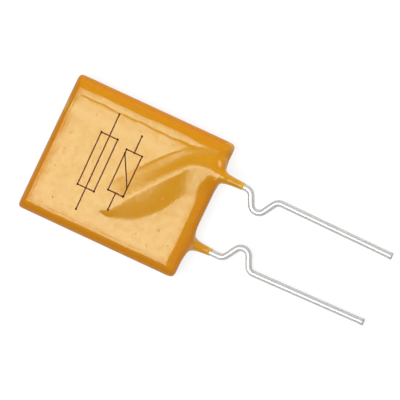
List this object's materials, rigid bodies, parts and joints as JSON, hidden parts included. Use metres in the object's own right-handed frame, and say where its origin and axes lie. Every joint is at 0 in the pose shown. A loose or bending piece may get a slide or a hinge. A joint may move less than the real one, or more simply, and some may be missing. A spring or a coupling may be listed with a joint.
{
  "type": "resettable fuse",
  "caption": "Radial-leaded polymer resettable fuse: a flat chip in an orange epoxy dip coat, with kinked tinned wire leads that solder into a circuit board and hold the body off it.",
  "frame": {"origin": "under the middle of the part, on the surface that it lies on", "axes": "+Y from the lead tips to the top of the body, +Z out of the front face, +X to the side of the front lead"},
  "size_m": [0.01, 0.0248, 0.0021],
  "materials": {
    "conductive_polymer": "carbon-filled polymer, dull black",
    "nickel_foil": "matt nickel-faced foil",
    "solder": "satin solder",
    "tinned_wire": "bright tin plate with fine drawing lines",
    "epoxy_coat": "semi-gloss dipped epoxy with a fine orange peel"
  },
  "bodies": {
    "root": {"polymer_core": "conductive_polymer", "front_foil": "nickel_foil", "rear_foil": "nickel_foil", "front_solder": "solder", "rear_solder": "solder", "front_lead": "tinned_wire", "rear_lead": "tinned_wire", "coating": "epoxy_coat"}
  },
  "joints": []
}
